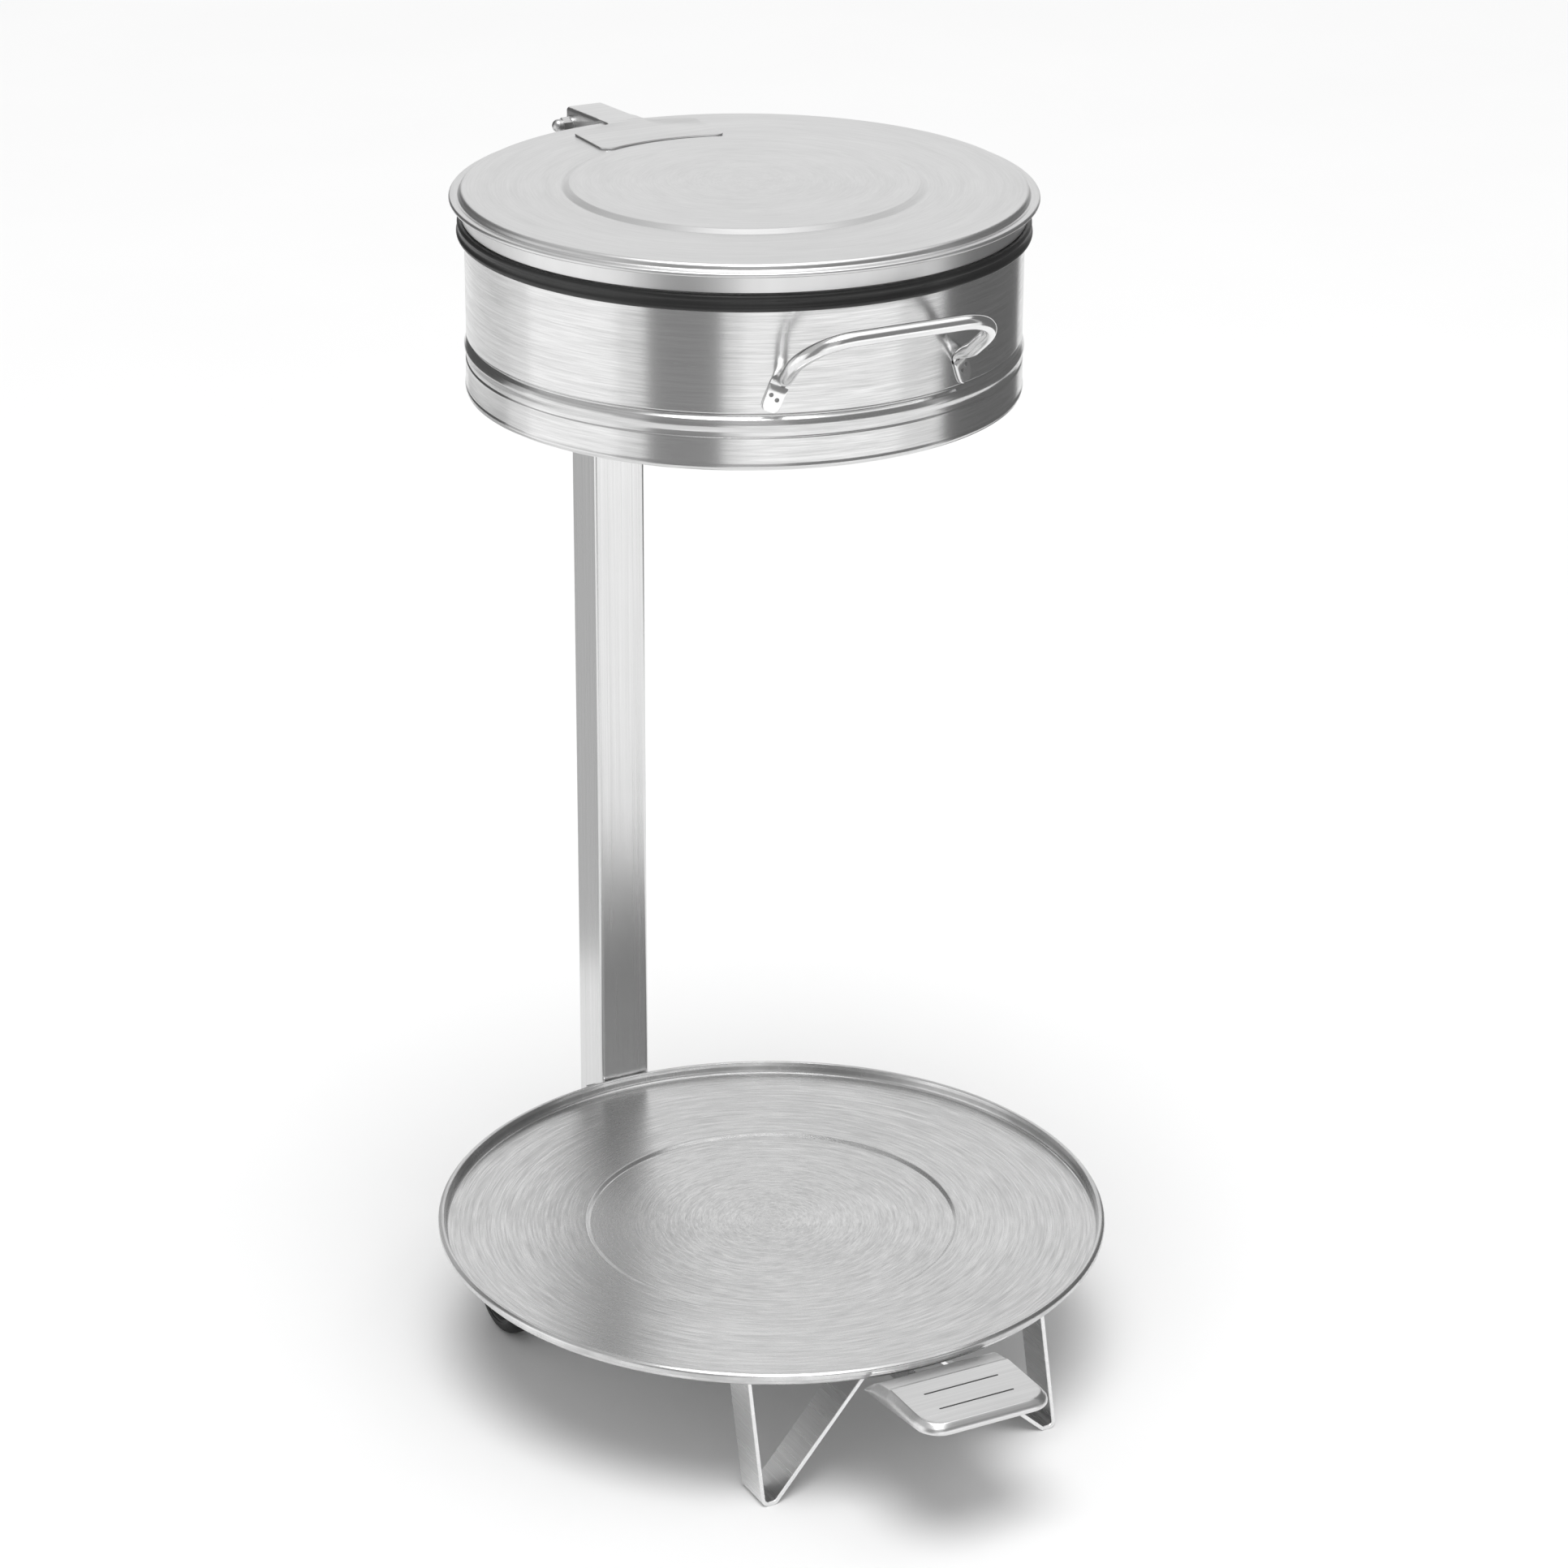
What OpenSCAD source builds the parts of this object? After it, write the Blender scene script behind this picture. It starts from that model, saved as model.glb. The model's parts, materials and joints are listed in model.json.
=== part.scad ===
// Free-standing pedal sack holder in stainless steel: a round base plate on a bent front foot and two
// rear wheels, a square column, and an open collar with a rubber ring under a hinged round lid.
// Front and pedal are at -Y, the column is at +Y, and Z = 0 is the floor.

/* [Base plate] */
// Outside radius of the base plate's rolled rim
plate_r = 240; // [236:1:242]
// Height of the rim's top above the floor
rim_top = 104; // [103:0.5:106]
// Depth of the dish from the rim's top to its floor
dish_depth = 8.8; // [7:0.1:9]
// Radius of the pressed recess in the dish floor
recess_r = 134; // [110:1:160]
// Depth of that recess
recess_drop = 2; // [1:0.5:3]
// Thickness of the base plate's sheet
plate_t = 2; // [1.5:0.5:2]
// Radius of the rolled edge of the rim
rim_bead_r = 2.6; // [2:0.1:3]

/* [Column] */
// Width of the square column
column_w = 40; // [38:1:42]
// Wall thickness of the column
column_t = 1.5; // [1:0.5:2]
// Height of the column's cut top end above the floor
column_top = 823; // [820:1:824]
// Height of the column's open lower end above the floor
column_foot = 52; // [46:1:54]

/* [Collar and ring] */
// Distance of the collar's axis behind the base plate's axis
mouth_y = 45.3; // [44:0.1:46]
// Outside radius of the collar's upper wall
collar_r = 187.3; // [185:0.1:188]
// Height of the collar's lower edge above the floor
collar_bottom = 714; // [700:1:720]
// Height of the collar's upper edge above the floor
collar_top = 829; // [828:0.5:829]
// Sheet thickness of the collar
collar_t = 1; // [0.8:0.1:1.2]

/* [Lid] */
// Outside radius of the lid's lip
lid_r = 197; // [195:0.5:198]
// Height of the lid's flat top above the floor
lid_top = 851.2; // [851:0.1:852]
// Radius of the raised centre, at the foot of its step
raised_r = 122.2; // [100:0.1:124]
// Height of the raised centre above the flat top
raised_h = 2.5; // [1:0.5:3]
// Sheet thickness of the lid
lid_t = 1; // [0.8:0.1:1.2]

/* [Hinge and lift] */
// Distance of the hinge bolt's axis behind the base plate's axis
pin_y = 285.5; // [285:0.5:287]
// Height of the hinge bolt's axis above the floor
pin_z = 838; // [837.5:0.1:838.5]
// Diameter of the hinge bolt
pin_d = 6; // [5:1:6]
// Sheet thickness of the hinge bracket
bracket_t = 1.5; // [1:0.5:2]
// Width of the bracket's narrow tab, over its folded ears
neck_w = 28.4; // [28:0.2:30]
// Diameter of the push rod in the column
rod_d = 8; // [6:1:10]

/* [Pedal and foot] */
// Distance of the pedal's front edge ahead of the base plate's axis
pedal_front = 318; // [312:1:322]
// Width of the pedal
pedal_w = 100; // [90:1:110]
// Height of the pedal's top face above the floor
pedal_top = 99.5; // [98:0.5:100]
// Distance of the pedal's pivot behind the base plate's axis
pivot_y = 75; // [60:1:90]
// Width of the front foot's steel strip
foot_w = 30; // [25:1:32]
// Thickness of that strip
foot_t = 3; // [2:0.5:4]
// Half the distance between the outer limbs of the front foot
foot_x = 115; // [105:1:120]

/* [Wheels] */
// Diameter of a rear wheel
wheel_d = 75; // [70:1:80]
// Width of a rear wheel
wheel_w = 22; // [18:1:24]
// Distance of a wheel's outer face from the middle plane
wheel_x = 177; // [172:1:180]
// Distance of the wheels' axis behind the base plate's axis
wheel_y = 96; // [90:1:106]

/* [Hidden] */
$fn = 96;

steel = "silver";
bright = "gainsboro";
black = "#202020";

ear_r = 7;                                  // bracket ear's radius round the hinge bolt
plate_y = (pedal_front - pin_y - ear_r) / 2; // puts the origin midway between pedal and hinge
dish_z = rim_top - dish_depth;              // top of the dish floor
under_z = dish_z - plate_t;                 // underside of the dish floor
recess_under_z = under_z - recess_drop;     // underside of the recess
recess_slope = 2.5;                         // width of a pressed step
rim_in_r = plate_r - 2 * rim_bead_r;        // inside of the rim's wall

column_y = plate_r + 0.6 + column_w / 2;    // column's axis, just clear of the rim
cap_t = 3;                                  // plate that closes the column's top
run_fit = 0.08;                             // radial play of a turning or sliding fit
bolt_fit = 0.02;                            // radial play of a clamped fit

crease_z = collar_bottom + 36;              // groove round the collar
crease_d = 1.8;
swage_z = collar_bottom + 30;               // swaged bead below the groove
swage_h = 1.5;
band_z = collar_bottom + 22;                // from here down the collar's band stands out
band_h = 0.7;
collar_bolt_heights = [collar_bottom + 46, collar_bottom + 92];
collar_bolt_d = 6;
hem_z = collar_bottom + 2.6;
hem_h = 0.6;

ring_top = collar_top + 2.5;                // rubber ring's upper edge
skirt_bottom = ring_top + 0.5;              // the lid's skirt hangs just clear of the ring
skirt_r = 188.8;                            // outside of the lid's skirt
flat_r = 185.5;                             // where the lid's flat top ends and its shoulder starts

ear_x = neck_w / 2;
lug_x = ear_x - bracket_t - 0.3;            // outside of the hinge lugs
lug_t = 3;
wing_x = 47;                                // half the width of the bracket's wing
wing_back = 212;                            // rear edge of the wing
wing_front_r = raised_r + 3.3;              // its hollow front edge follows the raised centre
bracket_z = lid_top + bracket_t;
lift_pin_d = 5;
lift_pin_z = pin_z + 9;
head_z = lift_pin_z - lift_pin_d / 2 - 1;   // top of the push head, just under the lift pin
washer_t = 1.6;
nut_x = ear_x + washer_t;                   // where the hinge bolt's head and nut start

lever_t = 6;
lever_h = 14;
lever_z = 60;                               // lower edge of the lever
lever_top = lever_z + lever_h;
pivot_z = lever_z + lever_h / 2;
pivot_d = 8;
rod_bottom = lever_top + 1.4;               // clear of the lever as it tilts
rod_foot_h = 12;
rail_t = 4;
rail_h = 25;
rail_front = -150;
pedal_t = 2;
pedal_h = 7;
pedal_back = 256;                           // where the pedal's flat top ends and its apron starts
pedal_rivets = [-285.5, -268];
pedal_skin = 0.6;                           // sheet left above the blind rivets
foot_y = -186;                              // front edge of the foot's strip at its top
foot_rake = 24;                             // how far the strip leans forward on its way down
axle_d = 8;
axle_z = wheel_d / 2;
bracket_x = wheel_x - wheel_w - 3;          // outer face of a wheel bracket

handle_d = 10;
handle_x = 67;                              // half the distance between the legs' roots
handle_reach = 57;                          // from the roots to the bar, along the handle
handle_rise = 41;                           // upward slope of the handle, degrees
handle_spread = 5.7;                        // how far each leg opens outward, degrees
handle_bend = 31;
handle_z = collar_bottom + 60;              // height of the legs' roots
tab_t = 2;                                  // thickness of the handle's flattened ends
tab_h = 15;
tab_w = 13;
tab_splay = 22;                             // lean of the flattened ends, degrees
leg_tail = 14;                              // length of a leg behind its root, cut off at the collar
bend_lap = 1.8;                             // how far a bend runs into the straight bars, degrees
handle_root_r = collar_r + tab_t + handle_d / 2;
handle_tab_a = asin(handle_x / handle_root_r); // where the legs stand round the collar
handle_root_y = mouth_y - handle_root_r * cos(handle_tab_a);

// Points on an arc about c, from angle a0 to a1
function arc(c, r, a0, a1, n = 12) =
    [for (i = [0:n]) c + r * [cos(a0 + (a1 - a0) * i / n), sin(a0 + (a1 - a0) * i / n)]];

// A smooth bump of height 1 and half-width w about z = 0
function bump(z, w) = abs(z) < w ? (1 + cos(180 * z / w)) / 2 : 0;

// Outside radius of the collar at height z
function collar_radius(z) =
    collar_r - crease_d * bump(z - crease_z, 2.4) + swage_h * bump(z - swage_z, 5)
    + (z < band_z ? band_h : 0) + hem_h * bump(z - hem_z, 2.2);

module at_plate() { translate([0, plate_y, 0]) children(); }

module at_mouth() { translate([0, plate_y + mouth_y, 0]) children(); }

// A rounded square, built from squares and true circles
module round_square(w, r) {
    square([w, w - 2 * r], center = true);
    square([w - 2 * r, w], center = true);
    for (sx = [-1, 1], sy = [-1, 1])
        translate([sx * (w / 2 - r), sy * (w / 2 - r)])
            circle(r);
}

// Unit normal of the run from point i of the path p to the next point
function normal(p, i) =
    let (run = p[i + 1] - p[i])
    [-run[1], run[0]] / norm(run);

// Point i of the path p, moved sideways by d
function side_point(p, i, d) =
    let (n0 = normal(p, max(i - 1, 0)), n1 = normal(p, min(i, len(p) - 2)))
    p[i] + d * (n0 + n1) / (1 + n0 * n1);

// The path p with each corner rounded, from e before the corner to e after it
function rounded(p, e, n = 4) = [
    p[0],
    for (i = [1:len(p) - 2])
        let (a = p[i] - e * (p[i] - p[i - 1]) / norm(p[i] - p[i - 1]),
            b = p[i] + e * (p[i + 1] - p[i]) / norm(p[i + 1] - p[i]))
            for (k = [0:n])
                let (t = k / n)
                    (1 - t) * (1 - t) * a + 2 * t * (1 - t) * p[i] + t * t * b,
    p[len(p) - 1]
];

// A strip of even thickness t that follows the path p
module strip(p, t) {
    polygon(concat([for (i = [0:len(p) - 1]) side_point(p, i, t / 2)],
        [for (i = [len(p) - 1:-1:0]) side_point(p, i, -t / 2)]));
}

// Cylinder along X from x0 to x1 about the line y, z
module rod_x(x0, x1, y, z, r) {
    translate([x0, y, z])
        rotate([0, 90, 0])
            cylinder(h = x1 - x0, r = r);
}

// Extrudes an outline drawn in Y and Z along X, from x0 to x1
module plate_yz(x0, x1) {
    translate([x0, 0, 0])
        rotate([90, 0, 90])
            linear_extrude(x1 - x0)
                children();
}

// A low dome with radius r and height h, standing on z = 0
module dome(r, h) {
    ball = (r * r + h * h) / (2 * h);
    rotate_extrude()
        polygon(concat([[0, 0]], arc([0, h - ball], ball, asin((ball - h) / ball), 90)));
}

// ---- Base plate, rails and foot ----

module base_plate() {
    fillet = 2;
    color(bright) at_plate() {
        rotate_extrude()
            polygon(concat(
                [[0, dish_z - recess_drop], [recess_r - recess_slope, dish_z - recess_drop],
                    [recess_r, dish_z]],
                arc([rim_in_r - fillet, dish_z + fillet], fillet, -90, 0, 6),
                [[rim_in_r, rim_top - rim_bead_r], [rim_in_r + plate_t, rim_top - rim_bead_r]],
                arc([rim_in_r - fillet, dish_z + fillet], fillet + plate_t, 0, -90, 6),
                [[recess_r + 0.5, under_z], [recess_r - recess_slope + 0.5, recess_under_z],
                    [0, recess_under_z]]));
        rotate_extrude()
            translate([plate_r - rim_bead_r, rim_top - rim_bead_r])
                circle(rim_bead_r, $fn = 32);
    }
}

// Flat strip bent into a W; its limbs lean forward on the way down
module front_foot() {
    top = under_z - foot_t / 2;
    low = foot_t / 2;
    half = [[4, top], [foot_x - 9, low], [foot_x, low], [foot_x, top], [foot_x - 22, top]];
    mirrored = [for (i = [len(half) - 1:-1:0]) [-half[i][0], half[i][1]]];
    back_y = foot_y + foot_w;
    color(bright) at_plate()
        intersection() {
            translate([0, back_y, 0])
                rotate([90, 0, 0])
                    linear_extrude(foot_w + foot_rake)
                        strip(rounded(concat(mirrored, half), 3.2), foot_t);
            plate_yz(-foot_x - foot_t, foot_x + foot_t)
                polygon([[foot_y, under_z], [back_y, under_z], [back_y - foot_rake, 0],
                    [foot_y - foot_rake, 0]]);
        }
}

// One side rail under the plate; it laps the column's side at the rear and carries the pedal's pivot
module rail(side) {
    color(steel) at_plate()
        difference() {
            translate([side > 0 ? column_w / 2 : -column_w / 2 - rail_t, rail_front,
                recess_under_z - rail_h])
                cube([rail_t, column_y - rail_front, rail_h]);
            rod_x(-50, 50, pivot_y, pivot_z, pivot_d / 2 + bolt_fit);
        }
}

module rail_left() { rail(-1); }

module rail_right() { rail(1); }

module pivot_pin() {
    color(steel) at_plate()
        rod_x(-column_w / 2 - 8, column_w / 2 + 8, pivot_y, pivot_z, pivot_d / 2);
}

module pivot_clip(side) {
    x = side * (column_w / 2 + rail_t);
    color("dimgray") at_plate()
        difference() {
            rod_x(min(x, x + side * 2), max(x, x + side * 2), pivot_y, pivot_z, 7);
            rod_x(-50, 50, pivot_y, pivot_z, pivot_d / 2 + bolt_fit);
        }
}

module pivot_clip_left() { pivot_clip(-1); }

module pivot_clip_right() { pivot_clip(1); }

// ---- Column ----

module column() {
    slot_w = lever_t + 6;
    slot_top = 97;
    color(steel) at_plate()
        translate([0, column_y, 0])
            difference() {
                translate([0, 0, column_foot])
                    linear_extrude(column_top - column_foot)
                        difference() {
                            round_square(column_w, 3);
                            round_square(column_w - 2 * column_t, 3 - column_t);
                        }
                translate([-slot_w / 2, -column_w / 2 - 1, column_foot - 1])
                    cube([slot_w, column_t + 2, slot_top - column_foot + 1]);
                for (z = collar_bolt_heights)
                    translate([0, -column_w / 2 - 1, z])
                        rotate([-90, 0, 0])
                            cylinder(h = column_t + 2, d = collar_bolt_d + 2 * bolt_fit);
            }
}

module column_cap() {
    color(steel) at_plate()
        translate([0, column_y, column_top])
            difference() {
                linear_extrude(cap_t)
                    round_square(column_w, 3);
                translate([0, 0, -1])
                    cylinder(h = cap_t + 2, d = rod_d + 2 * run_fit);
            }
}

// One cheek of the hinge lug, which stands on the cap and leans back to the hinge bolt
module hinge_lug(side) {
    z0 = column_top + cap_t;
    color(steel) at_plate()
        plate_yz(side > 0 ? lug_x - lug_t : -lug_x, side > 0 ? lug_x : lug_t - lug_x)
            difference() {
                union() {
                    polygon([[column_y + 6, z0], [column_y + column_w / 2, z0],
                        [pin_y + 6, pin_z - 2], [pin_y - 4.2, pin_z + 4.6]]);
                    translate([pin_y, pin_z])
                        circle(6.2);
                }
                translate([pin_y, pin_z])
                    circle(pin_d / 2 + run_fit);
            }
}

module hinge_lug_left() { hinge_lug(-1); }

module hinge_lug_right() { hinge_lug(1); }

module rod_guide() {
    guide_z = 180;
    color(black) at_plate()
        translate([0, column_y, guide_z])
            difference() {
                linear_extrude(8)
                    round_square(column_w - 2 * column_t - 0.1, 1.5);
                translate([0, 0, -1])
                    cylinder(h = 10, d = rod_d + 2 * run_fit);
            }
}

// ---- Collar, ring and handle ----

module collar() {
    heights = concat([collar_bottom], [for (z = [collar_bottom + 0.4:0.8:crease_z + 2.6]) z],
        [crease_z + 4, collar_top]);
    outside = [for (z = heights) [collar_radius(z), z]];
    inside = [for (i = [len(heights) - 1:-1:0]) [collar_radius(heights[i]) - collar_t, heights[i]]];
    color(bright) at_mouth()
        difference() {
            rotate_extrude()
                polygon(concat(outside, inside));
            for (z = collar_bolt_heights)
                translate([0, collar_r - 10, z])
                    rotate([-90, 0, 0])
                        cylinder(h = 20, d = collar_bolt_d + 2 * bolt_fit);
        }
}

// Block that fills the gap between the collar and the column
module collar_spacer() {
    h = 64;
    color(steel) at_plate()
        difference() {
            translate([-15, mouth_y + collar_r - 4, collar_bottom + 40])
                cube([30, column_y - column_w / 2 - mouth_y - collar_r + 4, h]);
            translate([0, mouth_y, collar_bottom])
                cylinder(h = 200, r = collar_r + 0.02, $fn = 180);
            for (z = collar_bolt_heights)
                translate([0, mouth_y + collar_r - 10, z])
                    rotate([-90, 0, 0])
                        cylinder(h = 30, d = collar_bolt_d + 2 * bolt_fit);
        }
}

// Bolt through the collar, the spacer and the column's front wall, with its nut inside the column
module collar_bolt(z) {
    head_y = mouth_y + collar_r - collar_t - 0.05;
    wall_y = column_y - column_w / 2 + column_t;
    color(steel) at_plate() {
        translate([0, head_y, z])
            rotate([90, 0, 0])
                dome(6, 3);
        translate([0, head_y - 0.01, z])
            rotate([-90, 0, 0])
                cylinder(h = wall_y + 5 - head_y, d = collar_bolt_d);
        translate([0, wall_y, z])
            rotate([-90, 0, 0])
                cylinder(h = 4.5, r = 5.6, $fn = 6);
    }
}

module collar_bolt_upper() { collar_bolt(collar_bolt_heights[1]); }

module collar_bolt_lower() { collar_bolt(collar_bolt_heights[0]); }

// Rubber ring that clamps the sack on the collar's top edge: two beads outside, a lip inside
module bag_ring() {
    fit = 0.05;
    color(black) at_mouth()
        rotate_extrude()
            difference() {
                union() {
                    translate([collar_r - 3, collar_top - 8.5])
                        square([5, 9]);
                    translate([collar_r - 3, collar_top])
                        square([4.5, 2.5]);
                    translate([collar_r + 1.9, collar_top - 0.2])
                        circle(2.7, $fn = 48);
                    translate([collar_r + 2.6, collar_top - 6.4])
                        circle(2.6, $fn = 48);
                }
                translate([collar_r - collar_t - fit, collar_top - 20])
                    square([collar_t + 2 * fit, 20]);
            }
}

// Flattened end of the handle, splayed outward, with the marks of its spot welds
module handle_end(side) {
    rotate(side * handle_tab_a)
        translate([0, 0, handle_z])
            rotate([0, -side * tab_splay, 0]) {
                translate([-tab_w / 2, -collar_r - tab_t, -tab_h])
                    cube([tab_w, tab_t + 1, tab_h]);
                for (z = [0, -tab_h])
                    translate([0, 1 - collar_r, z])
                        rotate([90, 0, 0])
                            cylinder(h = tab_t + 1, r = tab_w / 2);
                for (k = [-1, 1])
                    translate([3 * k, -collar_r - tab_t, -tab_h + 1 + 2 * k])
                        rotate([90, 0, 0])
                            dome(1.6, 0.5);
            }
}

// Half of the bent bar in the handle's own plane: one leg, run on into the collar, and one bend,
// which starts and ends just inside the straight bars
module handle_leg() {
    turn = 90 + handle_spread;
    run = handle_reach / cos(handle_spread) - handle_bend * tan(turn / 2);
    rotate(-handle_spread) {
        translate([0, -leg_tail, 0])
            rotate([-90, 0, 0])
                cylinder(h = run + leg_tail, d = handle_d);
        translate([-handle_bend, run, 0])
            rotate(-bend_lap)
                rotate_extrude(angle = turn + 2 * bend_lap)
                    translate([handle_bend, 0])
                        circle(handle_d / 2 - 0.05);
    }
}

// Round bar bent into a bow that slopes up and forward, with flattened ends on the collar
module handle() {
    corner_x = handle_x + handle_reach * tan(handle_spread);
    bar_x = corner_x - handle_bend * tan((90 + handle_spread) / 2);
    color(bright) at_plate()
        difference() {
            union() {
                translate([0, handle_root_y, handle_z])
                    rotate([180 - handle_rise, 0, 0]) {
                        for (s = [0, 1])
                            mirror([s, 0, 0])
                                translate([handle_x, 0, 0])
                                    handle_leg();
                        translate([-bar_x, handle_reach, 0])
                            rotate([0, 90, 0])
                                cylinder(h = 2 * bar_x, d = handle_d);
                    }
                translate([0, mouth_y, 0]) {
                    handle_end(-1);
                    handle_end(1);
                }
            }
            translate([0, mouth_y, 0])
                cylinder(h = 900, r = collar_r + 0.02, $fn = 720);
        }
}

// ---- Wheels ----

module wheel_bracket(side) {
    color(steel) at_plate()
        mirror([side < 0 ? 1 : 0, 0, 0])
            difference() {
                union() {
                    translate([bracket_x - 3, wheel_y - 18, axle_z])
                        cube([3, 36, under_z - axle_z]);
                    rod_x(bracket_x - 3, bracket_x, wheel_y, axle_z, 18);
                    translate([bracket_x - 30, wheel_y - 18, under_z - 3])
                        cube([30, 36, 3]);
                }
                rod_x(bracket_x - 10, bracket_x + 10, wheel_y, axle_z, axle_d / 2 + bolt_fit);
            }
}

module wheel_bracket_left() { wheel_bracket(-1); }

module wheel_bracket_right() { wheel_bracket(1); }

module axle(side) {
    color(steel) at_plate()
        mirror([side < 0 ? 1 : 0, 0, 0]) {
            rod_x(bracket_x - 11, wheel_x + 1, wheel_y, axle_z, axle_d / 2);
            translate([wheel_x + 0.4, wheel_y, axle_z])
                rotate([0, 90, 0])
                    dome(7, 3.2);
            difference() {
                rod_x(bracket_x, bracket_x + 2.6, wheel_y, axle_z, 8);
                rod_x(bracket_x - 1, bracket_x + 5, wheel_y, axle_z, axle_d / 2 - 0.5);
            }
        }
}

module axle_left() { axle(-1); }

module axle_right() { axle(1); }

module axle_nut(side) {
    color(steel) at_plate()
        mirror([side < 0 ? 1 : 0, 0, 0])
            difference() {
                translate([bracket_x - 9.5, wheel_y, axle_z])
                    rotate([0, 90, 0])
                        cylinder(h = 6.5, r = 7.2, $fn = 6);
                rod_x(bracket_x - 20, bracket_x, wheel_y, axle_z, axle_d / 2 + bolt_fit);
            }
}

module axle_nut_left() { axle_nut(-1); }

module axle_nut_right() { axle_nut(1); }

// Rounded tyre outline about the wheel's axis, from its seat radius to the tread
module tyre(side) {
    seat = wheel_d / 2 - 9;
    edge = 8;
    color(black) at_plate()
        translate([side > 0 ? wheel_x - wheel_w : -wheel_x, wheel_y, axle_z])
            rotate([0, 90, 0])
                rotate_extrude()
                    polygon(concat(
                        [[seat, 0.5]],
                        arc([wheel_d / 2 - edge, edge], edge, -90, 0, 8),
                        arc([wheel_d / 2 - edge, wheel_w - edge], edge, 0, 90, 8),
                        [[seat, wheel_w - 0.5]]));
}

module tyre_left() { tyre(-1); }

module tyre_right() { tyre(1); }

module hub(side) {
    seat = wheel_d / 2 - 9;
    bore = axle_d / 2 + run_fit;
    color("dimgray") at_plate()
        translate([side > 0 ? wheel_x - wheel_w : -wheel_x, wheel_y, axle_z])
            rotate([0, 90, 0])
                rotate_extrude()
                    polygon([[bore, 0], [9, 0], [11, 6], [seat - 4, 6], [seat - 2, 1], [seat, 1],
                        [seat, wheel_w - 1], [seat - 2, wheel_w - 1], [seat - 4, wheel_w - 6],
                        [11, wheel_w - 6], [9, wheel_w], [bore, wheel_w]]);
}

module hub_left() { hub(-1); }

module hub_right() { hub(1); }

// ---- Pedal and lever ----

module lever() {
    color(steel) at_plate()
        plate_yz(-lever_t / 2, lever_t / 2)
            difference() {
                union() {
                    polygon([[column_y + 11, lever_z], [column_y + 11, lever_top], [-224, lever_top],
                        [-246, pedal_top - pedal_t - 6], [-pedal_back - 2, pedal_top - pedal_t],
                        [-300, pedal_top - pedal_t], [-300, pedal_top - pedal_t - 6],
                        [-262, pedal_top - 17], [-236, lever_z]]);
                    translate([pivot_y, pivot_z])
                        circle(lever_h / 2 + 3);
                }
                translate([pivot_y, pivot_z])
                    circle(pivot_d / 2 + run_fit);
            }
}

// Tube that keeps the lever midway between the rails; its halves lie each side of the lever
module lever_bush() {
    reach = column_w / 2 - 0.5;
    color(black) at_plate()
        difference() {
            rod_x(-reach, reach, pivot_y, pivot_z, 7);
            rod_x(-50, 50, pivot_y, pivot_z, pivot_d / 2 + run_fit);
            translate([-lever_t / 2, pivot_y - 20, pivot_z - 20])
                cube([lever_t, 40, 40]);
        }
}

// The pedal's outline seen from above, drawn inset by d
module pedal_outline(d) {
    r = 18 - d;
    w = pedal_w / 2 - d;
    front = -pedal_front + d;
    for (s = [-1, 1])
        translate([s * (w - r), front + r])
            circle(r);
    translate([-w + r, front])
        square([2 * (w - r), r + 1]);
    translate([-w, front + r])
        square([2 * w, -pedal_back - front - r]);
}

module pedal() {
    z0 = pedal_top - pedal_h;
    apron_back = 231;
    color(bright) at_plate() {
        difference() {
            translate([0, 0, z0])
                linear_extrude(pedal_h)
                    pedal_outline(0);
            translate([0, 0, z0 - 1])
                linear_extrude(pedal_h + 1 - pedal_t)
                    pedal_outline(pedal_t);
            for (y = [-275, -296])
                translate([-28, y - 0.7, pedal_top - 0.6])
                    cube([56, 1.4, 2]);
            for (y = pedal_rivets)
                translate([0, y, z0])
                    cylinder(h = pedal_h - pedal_skin, d = 4 + 2 * bolt_fit);
        }
        plate_yz(-pedal_w / 2, pedal_w / 2)
            polygon([[-pedal_back, pedal_top], [-pedal_back + 16, pedal_top - 7.6],
                [-apron_back, pedal_top - 11], [-apron_back, pedal_top - 11 - pedal_t],
                [-pedal_back + 15, pedal_top - 7.6 - pedal_t], [-pedal_back, pedal_top - pedal_t]]);
    }
}

// Blind rivet between the pedal's sheet and the lever's head; it doesn't show on top
module pedal_rivet(y) {
    color(steel) at_plate()
        translate([0, y, pedal_top - pedal_t])
            cylinder(h = pedal_t - pedal_skin, d = 4);
}

module pedal_rivet_front() { pedal_rivet(pedal_rivets[0]); }

module pedal_rivet_rear() { pedal_rivet(pedal_rivets[1]); }

// ---- Push rod ----

module push_rod() {
    color(steel) at_plate()
        translate([0, column_y, rod_bottom + 4])
            cylinder(h = head_z - 4 - rod_bottom - 4, d = rod_d);
}

module push_head() {
    color(steel) at_plate()
        translate([-8, column_y - 11, head_z - 4])
            cube([16, 26, 4]);
}

module rod_foot() {
    color(black) at_plate()
        translate([0, column_y, rod_bottom])
            difference() {
                cylinder(h = rod_foot_h, r = 6);
                translate([0, 0, 4])
                    cylinder(h = rod_foot_h, d = rod_d + 2 * bolt_fit);
            }
}

// ---- Lid ----

// Flat top with its raised centre
module lid_disc() {
    under = lid_top - lid_t;
    color(bright) at_mouth()
        rotate_extrude()
            polygon([[0, lid_top + raised_h], [raised_r - recess_slope, lid_top + raised_h],
                [raised_r, lid_top], [flat_r, lid_top], [flat_r, under], [raised_r - 0.5, under],
                [raised_r - recess_slope - 0.5, under + raised_h], [0, under + raised_h]]);
}

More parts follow.
